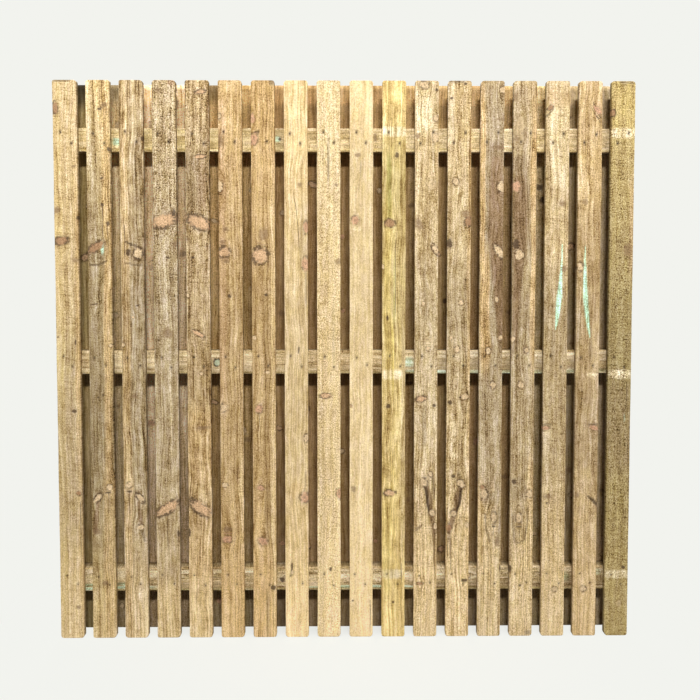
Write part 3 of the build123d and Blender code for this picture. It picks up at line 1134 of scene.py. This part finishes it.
NAIL_RUST = (0.11, 0.05, 0.022, 1.0)
RUST_SCALE = (900.0, 900.0, 900.0)  # patches of rust to a metre
NAIL_METAL = 0.6


def nail_finish():
    """Dull steel, browned in patches."""
    nail = bpy.context.scene.paling_nails
    material = bpy.data.materials.new("nail_steel_dull")
    g = Graph(material)
    place = g.node("ShaderNodeTexCoord", None, None, "Object")
    patch = g.noise(g.scale(place, RUST_SCALE), 3.0)
    tone = g.mix(g.ramp(patch, 0.45, 0.65), opaque(nail.steel), NAIL_RUST)
    surface = g.node(
        "ShaderNodeBsdfPrincipled",
        None,
        {"Base Color": tone, "Metallic": NAIL_METAL, "Roughness": 0.5 + 0.3 * patch},
    )
    g.node("ShaderNodeOutputMaterial", None, {"Surface": surface})
    return material


def timber_material(slot):
    """The timber finish of a slot, made once."""
    name = f"{slot}_sawn"
    return bpy.data.materials.get(name) or timber_finish(name)


def add_piece(name, mesh, material, node):
    """Adds a finished piece in the place of a node."""
    mesh.materials.clear()
    mesh.materials.append(material)
    piece = bpy.data.objects.new(name, mesh)
    bpy.context.scene.collection.objects.link(piece)
    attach(piece, BODY)
    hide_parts(node)


SAME_POINT = 1e-5  # points closer than this are one, in metres


def nail_places(node):
    """Places of a node's nails, as x and z in metres."""
    work = bmesh.new()
    work.from_mesh(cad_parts[node].data)
    bmesh.ops.remove_doubles(work, verts=work.verts, dist=SAME_POINT)
    places = []
    left = set(work.verts)
    while left:
        group = {left.pop()}
        edge = list(group)
        while edge:
            for link in edge.pop().link_edges:
                for vert in link.verts:
                    if vert in left:
                        left.remove(vert)
                        group.add(vert)
                        edge.append(vert)
        xs = [vert.co.x for vert in group]
        zs = [vert.co.z for vert in group]
        places.append(((min(xs) + max(xs)) / 2, (min(zs) + max(zs)) / 2))
    work.free()
    return sorted(places)


def board_size(node):
    """Middle and size of a node, in mm."""
    low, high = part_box(node)
    low = np.array(low) / MM
    high = np.array(high) / MM
    return (low + high) / 2, high - low


# How finely each kind of board is divided: spaces across, and mm between the rows along it
FRONT_SPACES = 24
FRONT_STEP = 5.2
BACK_SPACES = 18
BACK_STEP = 7.0
RAIL_SPACES = 18
RAIL_STEP = 7.0
INNER_PAINTED_SHADE = (0.32, 0.3, 0.26)  # inside of the front pales and the rails, darkened as painted shade between the two layers
INNER_BROWN = (1.0, 0.88, 0.68)  # inside of the back pales in the middle of the panel
BROWNED_PALES = range(5, 15)
BACK_NUMBER = 40  # board numbers from which the back pales and the rails draw their figures
RAIL_NUMBER = 80
BACK_SEED = 3
BACK_SEED_STEP = 104729


class PALING_OT_front_pales(bpy.types.Operator):
    """Make the pales of the front face"""

    bl_idname = "paling.front_pales"
    bl_label = "Front Pales"

    def execute(self, context):
        nails = nail_places("front_nails")
        material = timber_material(FRONT_SLOT)
        for number, plank in enumerate(FRONT_PLANKS, start=1):
            node = f"front_pale_{number:02d}"
            middle, size = board_size(node)
            half = size[0] / 2
            own = [(x / MM - middle[0], z / MM) for x, z in nails if abs(x / MM - middle[0]) < half]
            face = middle[1] - size[1] / 2

            def put(across, depth, along, x=middle[0], y=face):
                return x + across, y + depth, along

            cut = Cut(size[2], size[0], size[1], FRONT_SPACES, FRONT_STEP, put, INNER_PAINTED_SHADE)
            add_piece(f"{node}_sawn", board_mesh(node, cut, plank, number, own), material, node)
        return {"FINISHED"}


# Tone and lightness of each back pale, as far as the gaps show them
BACK_TONES = (
    (("drab", "olive", 0.5), 0.95, DARK_TOP), (("drab", "straw", 0.7), 1.1, DIM_TOP),
    (("cream", "rosy", 0.2), 1.25, PAINTED_FOOT_SHADE), (("cream", "rosy", 0.2), 1.12, PAINTED_FOOT_SHADE),
    (("drab", "straw", 0.4), 1.05, DIM_TOP), (("drab", "straw", 0.25), 0.97, PAINTED_FOOT_SHADE),
    (("drab", "rosy", 0.3), 0.88, PAINTED_FOOT_SHADE), (("drab", "rosy", 0.4), 0.85), (("drab", "rosy", 0.2), 0.85),
    (("drab", "rosy", 0.2), 0.86), (("drab", "straw", 0.15), 0.92), (("drab", "straw", 0.1), 0.92),
    (("drab", "rosy", 0.2), 0.85), (("drab", "grey", 0.3), 1.1), (("drab", "olive", 0.15), 1.15),
    # The last back pale's lightness of 1.5 is painted light, set against the shade of the last front pale
    (("drab", "grey", 0.3), 1.1), (("drab", "grey", 0.3), 1.5, EVEN),
)


def back_plank(number, length, tone, shade, height_tone_and_light=PAINTED_TOP_LIGHT):
    """A board seen only through the gaps, its figure drawn from its number."""
    rng = random.Random(number * BACK_SEED_STEP + BACK_SEED)
    knots = []
    height = rng.uniform(60, 300)
    while height < length - 40:
        kind = rng.choice(("pink", "ring", "leaf", "dark", "smear", "smear", "ghost", "pale"))
        wide = rng.uniform(5, 12) * (1.7 if kind == "leaf" else 1.0)
        high = rng.uniform(5, 11)
        lean = rng.choice((-1, 1)) * rng.uniform(15, 45) if kind == "leaf" else rng.uniform(-20, 20)
        knots.append((kind, rng.uniform(-32, 32), height, wide, high, lean))
        height += rng.choice((40, 210, 300, 420)) * rng.uniform(0.7, 1.3)
    side = rng.choice((-1, 1))
    fields = (
        (rng.choice(("honey", "straw", "olive")), side * rng.uniform(24, 30), length / 2, 9, length, 0.3),
        (
            rng.choice(("heart", "grey", "rosy")), -side * rng.uniform(5, 25), rng.uniform(300, 1500),
            12, 350, 0.3,
        ),
    )
    return Plank(
        tone,
        shade=shade,
        contrast=rng.uniform(0.7, 0.95),
        fuzz=rng.uniform(0.1, 0.45),
        kerf=rng.uniform(0.1, 0.4),
        rings=rng.uniform(0.3, 0.6),
        pith=(rng.uniform(-45, 45), rng.uniform(30, 80)),
        taper=rng.uniform(0.002, 0.01),
        fields=fields,
        knots=tuple(knots),
        height_tone_and_light=height_tone_and_light,
        calm=EVEN,
    )


class PALING_OT_back_pales(bpy.types.Operator):
    """Make the pales of the back face"""

    bl_idname = "paling.back_pales"
    bl_label = "Back Pales"

    def execute(self, context):
        nails = nail_places("back_nails")
        material = timber_material(BACK_SLOT)
        nodes = sorted(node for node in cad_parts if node.startswith("back_pale_"))
        for number, node in enumerate(nodes, start=BACK_NUMBER):
            middle, size = board_size(node)
            half = size[0] / 2
            own = [(middle[0] - x / MM, z / MM) for x, z in nails if abs(x / MM - middle[0]) < half]
            face = middle[1] + size[1] / 2

            def put(across, depth, along, x=middle[0], y=face):
                return x - across, y - depth, along

            order = number - BACK_NUMBER
            inner = INNER_BROWN if order + 1 in BROWNED_PALES else (1.0, 1.0, 1.0)
            cut = Cut(size[2], size[0], size[1], BACK_SPACES, BACK_STEP, put, inner, BROWNED)
            plank = back_plank(number, size[2], *BACK_TONES[order])
            add_piece(f"{node}_sawn", board_mesh(node, cut, plank, number, own), material, node)
        return {"FINISHED"}


# The rails lie along their length from the right end, and across them is up
RAIL_PLANKS = {
    "bottom_rail": Plank(
        ("straw", "sticker", 0.2), shade=0.92, fuzz=0.4, kerf=0.3, rings=0.8, pith=(5, 50),
        height_tone_and_light=EVEN, calm=EVEN,
        fields=(
            ("drab", -24, 915, 14, 915, 0.45), ("green", -34, 915, 5, 915, 0.45),
            ("sticker", 14, 915, 16, 915, 0.7), ("mint", -26, 1690, 4, 150, 0.7),
            ("mint", -16, 1700, 3, 130, 0.6), ("mint", -25, 860, 3, 190, 0.6),
            ("mint", 4, 210, 16, 26, 0.5), ("sticker", 14, 313, 14, 24, 0.7),
            # The heart field 100 from the right end is painted shade where the last front pales shade the
            # rail
            ("mint", 20, 105, 10, 22, 0.5), ("heart", 0, 100, 40, 110, 0.4),
            ("sticker", 10, 1020, 26, 330, 0.4), ("drab", 0, 502, 40, 30, 0.3),
            ("sticker", 22, 400, 11, 330, 0.4), ("grey", -14, 400, 15, 330, 0.3),
        ),
        knots=(
            ("dark", -2, 1119, 8, 8, 0), ("pale", 7, 1113, 4, 4, 0), ("ring", 8, 520, 12, 10, 0),
            ("dark", 20, 1400, 6, 4, 0),
        ),
    ),
    "middle_rail": Plank(
        ("straw", "sticker", 0.25), shade=0.92, fuzz=0.35, kerf=0.3, rings=0.7, pith=(-5, 60),
        height_tone_and_light=EVEN, calm=EVEN,
        fields=(
            ("drab", -24, 915, 15, 915, 0.45), ("green", -34, 915, 5, 915, 0.35),
            ("mint", 0, 711, 15, 15, 0.5), ("mint", -30, 400, 6, 330, 0.6), ("drab", 0, 385, 40, 260, 0.6),
            # The heart field 60 from the right end is painted shade where the last front pales shade the
            # rail
            ("heart", 0, 60, 40, 60, 0.45), ("sticker", 27, 385, 8, 260, 0.6),
            ("grey", -4, 385, 18, 260, 0.35),
        ),
        knots=(("copper", 0, 1324, 11, 11, 0), ("pink", 12, 1610, 10, 8, 0), ("smear", -8, 990, 14, 8, 0)),
    ),
    "top_rail": Plank(
        ("straw", "sticker", 0.5), fuzz=0.35, kerf=0.45, rings=0.4, pith=(0, 70),
        height_tone_and_light=EVEN, calm=EVEN,
        fields=(
            ("olive", 4, 915, 26, 915, 0.28), ("olive", 0, 1560, 40, 270, 0.3),
            ("heart", 0, 1121, 40, 16, 0.35), ("drab", 0, 605, 40, 30, 0.35),
            ("drab", 0, 708, 40, 20, 0.25), ("drab", 0, 150, 40, 90, 0.3), ("sticker", 0, 399, 40, 30, 0.6),
            ("yellow", -31, 915, 6, 915, 0.25), ("mint", -6, 1637, 11, 13, 0.75),
            # The heart field 60 from the right end is painted shade where the last front pales shade the
            # rail
            ("mint", 3, 1130, 9, 9, 0.6), ("heart", 0, 60, 40, 60, 0.35),
        ),
        knots=(("dark", 3, 1121, 5, 5, 0), ("smear", 10, 820, 12, 7, 0)),
    ),
}


class PALING_OT_rails(bpy.types.Operator):
    """Make the three rails between the two layers of pales"""

    bl_idname = "paling.rails"
    bl_label = "Rails"

    def execute(self, context):
        material = timber_material(RAIL_SLOT)
        for number, (node, plank) in enumerate(RAIL_PLANKS.items(), start=RAIL_NUMBER):
            middle, size = board_size(node)
            far = middle[0] + size[0] / 2
            face = middle[1] - size[1] / 2

            def put(across, depth, along, x=far, y=face, z=middle[2]):
                return x - along, y + depth, z + across

            cut = Cut(size[0], size[2], size[1], RAIL_SPACES, RAIL_STEP, put, INNER_PAINTED_SHADE)
            add_piece(f"{node}_sawn", board_mesh(node, cut, plank, number), material, node)
        return {"FINISHED"}


NAIL_SIDES = 10


def nail_tree(material):
    """Nodes that set a headed nail on every point, its head's face on the point and its shank along Y."""
    tree = bpy.data.node_groups.new("driven_nails", "GeometryNodeTree")
    face = tree.interface
    face.new_socket("Points", in_out="INPUT", socket_type="NodeSocketGeometry")
    sizes = {}
    for name in ("Head Radius", "Head Depth", "Shank Radius", "Length", "Way"):
        sizes[name] = face.new_socket(name, in_out="INPUT", socket_type="NodeSocketFloat")
    sizes["Seed"] = face.new_socket("Seed", in_out="INPUT", socket_type="NodeSocketInt")
    face.new_socket("Nails", in_out="OUTPUT", socket_type="NodeSocketGeometry")
    nodes = tree.nodes
    links = tree.links
    source = nodes.new("NodeGroupInput").outputs
    result = nodes.new("NodeGroupOutput")

    def add(kind, inputs, **settings):
        node = nodes.new(kind)
        for key, value in settings.items():
            setattr(node, key, value)
        for key, value in inputs.items():
            socket = next(s for s in node.inputs if key in (s.identifier, s.name) and s.enabled)
            if isinstance(value, bpy.types.NodeSocket):
                links.new(value, socket)
            else:
                socket.default_value = value
        return node

    def times(first, second):
        node = add("ShaderNodeMath", {"Value": first, "Value_001": second}, operation="MULTIPLY")
        return node.outputs[0]

    def barrel(radius, depth):
        """A closed cylinder along Y, from the point down to a depth."""
        body = add(
            "GeometryNodeMeshCylinder",
            {"Vertices": NAIL_SIDES, "Radius": radius, "Depth": depth},
            fill_type="NGON",
        )
        offset = add("ShaderNodeCombineXYZ", {"Y": times(times(depth, 0.5), source["Way"])})
        placed = add(
            "GeometryNodeTransform",
            {
                "Geometry": body.outputs["Mesh"],
                "Translation": offset.outputs[0],
                "Rotation": (math.pi / 2, 0.0, 0.0),
            },
        )
        return placed.outputs[0]

    head = barrel(source["Head Radius"], source["Head Depth"])
    shank = barrel(source["Shank Radius"], source["Length"])
    whole = nodes.new("GeometryNodeJoinGeometry")
    links.new(head, whole.inputs[0])
    links.new(shank, whole.inputs[0])
    spin = add(
        "FunctionNodeRandomValue",
        {"Min": 0.0, "Max": math.tau, "Seed": source["Seed"]},
        data_type="FLOAT",
    )
    turned = add("ShaderNodeCombineXYZ", {"Y": next(s for s in spin.outputs if s.enabled)})
    spread = add(
        "GeometryNodeInstanceOnPoints",
        {"Points": source["Points"], "Instance": whole.outputs[0], "Rotation": turned.outputs[0]},
    )
    solid = add("GeometryNodeRealizeInstances", {"Geometry": spread.outputs[0]})
    dressed = add("GeometryNodeSetMaterial", {"Geometry": solid.outputs[0], "Material": material})
    links.new(dressed.outputs[0], result.inputs[0])
    return tree, {name: socket.identifier for name, socket in sizes.items()}


class PALING_OT_nails(bpy.types.Operator):
    """Drive the nails of both faces"""

    bl_idname = "paling.nails"
    bl_label = "Nails"

    def execute(self, context):
        nail = context.scene.paling_nails
        material = nail_finish()
        tree, sizes = nail_tree(material)
        for node, way in (("front_nails", 1.0), ("back_nails", -1.0)):
            low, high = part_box(node)
            head = low.y if way > 0 else high.y
            mesh = bpy.data.meshes.new(f"{node}_points")
            mesh.from_pydata([(x, head, z) for x, z in nail_places(node)], [], [])
            holder = bpy.data.objects.new(f"{node}_points", mesh)
            context.scene.collection.objects.link(holder)
            modifier = holder.modifiers.new("driven_nails", "NODES")
            modifier.node_group = tree
            modifier[sizes["Head Radius"]] = nail.head_radius
            modifier[sizes["Head Depth"]] = nail.head_depth
            modifier[sizes["Shank Radius"]] = nail.shank_radius
            modifier[sizes["Length"]] = high.y - low.y
            modifier[sizes["Way"]] = way
            modifier[sizes["Seed"]] = nail.seed
            ready = holder.evaluated_get(context.evaluated_depsgraph_get())
            solid = bpy.data.meshes.new_from_object(ready)
            bpy.data.objects.remove(holder)
            solid.name = f"{node}_driven"
            add_piece(f"{node}_driven", solid, material, node)
        return {"FINISHED"}


CAMERA_PLACE = (0.0016, -1.8697, 1.2159)
CAMERA_TILT = 1.915  # degrees down
CAMERA_TURN = 0.444  # degrees towards +X
CAMERA_SHIFT = -0.1
SENSOR_WIDTH = 36.0  # in mm
FLOOR_HALF = 12.0
FLOOR_BOUNCE = (0.11, 0.12, 0.15, 1.0)  # what the floor gives back to the panel
LAMP_AIM = (0.0, 0.0, 0.95)
# Places and sizes of the lamps, in metres
SIDE_LAMP = (2.8, -2.6, 2.4)
SIDE_LAMP_SIZE = (1.4, 0.9)
FRONT_LAMP = (0.6, -4.2, 6.3)
FRONT_LAMP_SIZE = (2.2, 0.5)
BACK_LAMP = (-0.9, 3.4, 2.9)
BACK_LAMP_SIZE = (2.0, 1.0)


def backdrop_share(g):
    """1 for rays that show the backdrop as it is: from the camera, in reflections and through glass."""
    node = g.node("ShaderNodeLightPath").socket.node
    share = Value(g, node.outputs["Is Camera Ray"])
    share = g.math("MAXIMUM", share, Value(g, node.outputs["Is Glossy Ray"]))
    return g.math("MAXIMUM", share, Value(g, node.outputs["Is Transmission Ray"]))


def floor_finish(tone):
    """Pale floor that fades into the backdrop and keeps a soft shadow beside the panel."""
    material = bpy.data.materials.new("floor_paper")
    g = Graph(material)
    x, y, _ = g.parts(g.node("ShaderNodeTexCoord", None, None, "Object"))
    away = g.math("SQRT", x * x * 0.6 + y * y)
    shown = backdrop_share(g)
    lit = g.node("ShaderNodeBsdfDiffuse", None, {"Color": g.mix(shown, FLOOR_BOUNCE, opaque(tone))})
    plain = g.node("ShaderNodeEmission", None, {"Color": opaque(tone), "Strength": 1.0})
    share = shown * (1.0 - 0.2 * g.ramp(away, 0.9, 0.1))
    surface = g.node("ShaderNodeMixShader", None, {"Fac": share, "Shader": lit, "Shader_001": plain})
    g.node("ShaderNodeOutputMaterial", None, {"Surface": surface})
    return material


def add_lamp(name, place, size, power):
    """A soft rectangular lamp aimed at the panel."""
    light = bpy.data.lights.new(name, "AREA")
    light.shape = "RECTANGLE"
    light.size, light.size_y = size
    light.energy = power
    lamp = bpy.data.objects.new(name, light)
    lamp.location = place
    lamp.rotation_euler = (Vector(LAMP_AIM) - lamp.location).to_track_quat("-Z", "Y").to_euler()
    bpy.context.scene.collection.objects.link(lamp)


class PALING_OT_stage(bpy.types.Operator):
    """Set the floor, the light and the camera"""

    bl_idname = "paling.stage"
    bl_label = "Stage"

    def execute(self, context):
        scene = context.scene
        stage = scene.paling_stage
        scene.view_settings.view_transform = "Standard"
        half = FLOOR_HALF
        mesh = bpy.data.meshes.new("floor")
        corners = [(-half, -half, 0), (half, -half, 0), (half, half, 0), (-half, half, 0)]
        mesh.from_pydata(corners, [], [(0, 1, 2, 3)])
        mesh.materials.append(floor_finish(stage.backdrop))
        floor = bpy.data.objects.new("floor", mesh)
        scene.collection.objects.link(floor)
        x, y, z = SIDE_LAMP
        add_lamp("left_lamp", (-x, y, z), SIDE_LAMP_SIZE, stage.side_power)
        add_lamp("right_lamp", (x, y, z), SIDE_LAMP_SIZE, stage.side_power)
        add_lamp("front_lamp", FRONT_LAMP, FRONT_LAMP_SIZE, stage.front_power)
        add_lamp("back_lamp", BACK_LAMP, BACK_LAMP_SIZE, stage.back_power)
        world = bpy.data.worlds.new("surroundings")
        scene.world = world
        g = Graph(world)
        shown = g.node("ShaderNodeBackground", None, {"Color": opaque(stage.backdrop), "Strength": 1.0})
        fill = g.node("ShaderNodeBackground", None, {"Color": (1.0, 1.0, 1.0, 1.0), "Strength": stage.fill})
        both = g.node(
            "ShaderNodeMixShader", None, {"Fac": backdrop_share(g), "Shader": fill, "Shader_001": shown}
        )
        g.node("ShaderNodeOutputWorld", None, {"Surface": both})
        camera = bpy.data.objects.new("camera", bpy.data.cameras.new("camera"))
        camera.data.lens = stage.lens
        camera.data.sensor_width = SENSOR_WIDTH
        camera.data.shift_y = CAMERA_SHIFT
        camera.location = CAMERA_PLACE
        camera.rotation_euler = (math.radians(90.0 - CAMERA_TILT), 0.0, math.radians(-CAMERA_TURN))
        scene.collection.objects.link(camera)
        scene.camera = camera
        return {"FINISHED"}


class PALING_PT_panel(bpy.types.Panel):
    """Settings and pieces of the paling fence panel"""

    bl_idname = "PALING_PT_panel"
    bl_label = "Paling Fence Panel"
    bl_space_type = "VIEW_3D"
    bl_region_type = "UI"
    bl_category = "Paling"

    def draw(self, context):
        for group in (context.scene.paling_timber, context.scene.paling_nails, context.scene.paling_stage):
            box = self.layout.box()
            for name in group.__annotations__:
                box.prop(group, name)
        for operator in OPERATORS:
            self.layout.operator(operator.bl_idname)


SETTINGS = {"paling_timber": TimberSettings, "paling_nails": NailSettings, "paling_stage": StageSettings}
OPERATORS = (
    PALING_OT_stage, PALING_OT_front_pales, PALING_OT_back_pales, PALING_OT_rails, PALING_OT_nails,
)


def register():
    for name, group in SETTINGS.items():
        bpy.utils.register_class(group)
        setattr(bpy.types.Scene, name, PointerProperty(type=group))
    for operator in OPERATORS:
        bpy.utils.register_class(operator)
    bpy.utils.register_class(PALING_PT_panel)


def unregister():
    bpy.utils.unregister_class(PALING_PT_panel)
    for operator in reversed(OPERATORS):
        bpy.utils.unregister_class(operator)
    for name, group in reversed(SETTINGS.items()):
        delattr(bpy.types.Scene, name)
        bpy.utils.unregister_class(group)


def main():
    register()
    bpy.ops.paling.stage()
    bpy.ops.paling.front_pales()
    bpy.ops.paling.back_pales()
    bpy.ops.paling.rails()
    bpy.ops.paling.nails()


if __name__ == "__main__":
    main()
